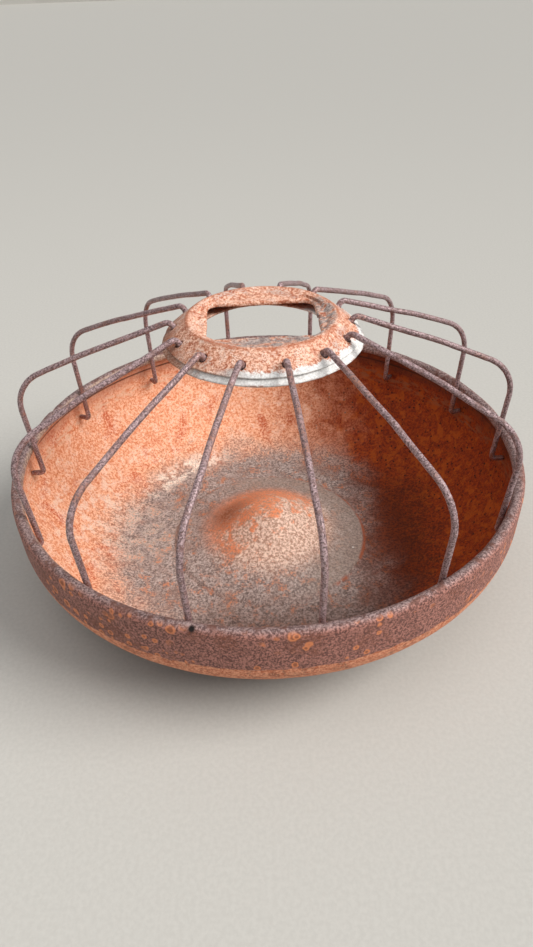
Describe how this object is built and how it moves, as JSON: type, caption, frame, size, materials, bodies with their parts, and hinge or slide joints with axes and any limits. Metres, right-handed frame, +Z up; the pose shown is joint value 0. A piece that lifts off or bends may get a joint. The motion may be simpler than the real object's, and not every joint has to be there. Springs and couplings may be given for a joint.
{
  "type": "poultry feeder pan with wire guard",
  "caption": "Round pressed steel feeding pan with a central cone and rolled rim, under a turning wire guard whose spokes rise to a ringed hub with a rectangular opening.",
  "frame": {"origin": "on the ground at the middle of the pan, on its centre line", "axes": "+Z up along the centre line that the guard turns about, -Y towards the front as usually seen, +X to the right"},
  "size_m": [0.3559, 0.356, 0.189],
  "materials": {
    "pan_steel": "pressed sheet steel, rusted orange and brown all over",
    "wire_steel": "drawn steel wire, dark brown and pitted with a dull sheen",
    "hub_steel": "galvanised sheet steel, rusted salmon with worn grey patches",
    "plate_steel": "galvanised sheet steel, dull pale grey with rust at its edge"
  },
  "bodies": {
    "pan": {"pan": "pan_steel", "rim_wire": "wire_steel"},
    "guard": {"hub_cap": "hub_steel", "hub_clamp_plate": "plate_steel", "guard_wire_01": "wire_steel", "guard_wire_02": "wire_steel", "guard_wire_03": "wire_steel", "guard_wire_04": "wire_steel", "guard_wire_05": "wire_steel", "guard_wire_06": "wire_steel", "guard_wire_07": "wire_steel", "guard_wire_08": "wire_steel", "guard_wire_09": "wire_steel", "guard_wire_10": "wire_steel", "guard_wire_11": "wire_steel", "guard_wire_12": "wire_steel", "guard_wire_13": "wire_steel", "guard_wire_14": "wire_steel"}
  },
  "joints": [
    {"name": "guard_turn", "type": "hinge", "parent": "pan", "child": "guard", "pos_m": [0, 0, 0.08], "axis": [0, 0, 1], "continuous": true}
  ]
}
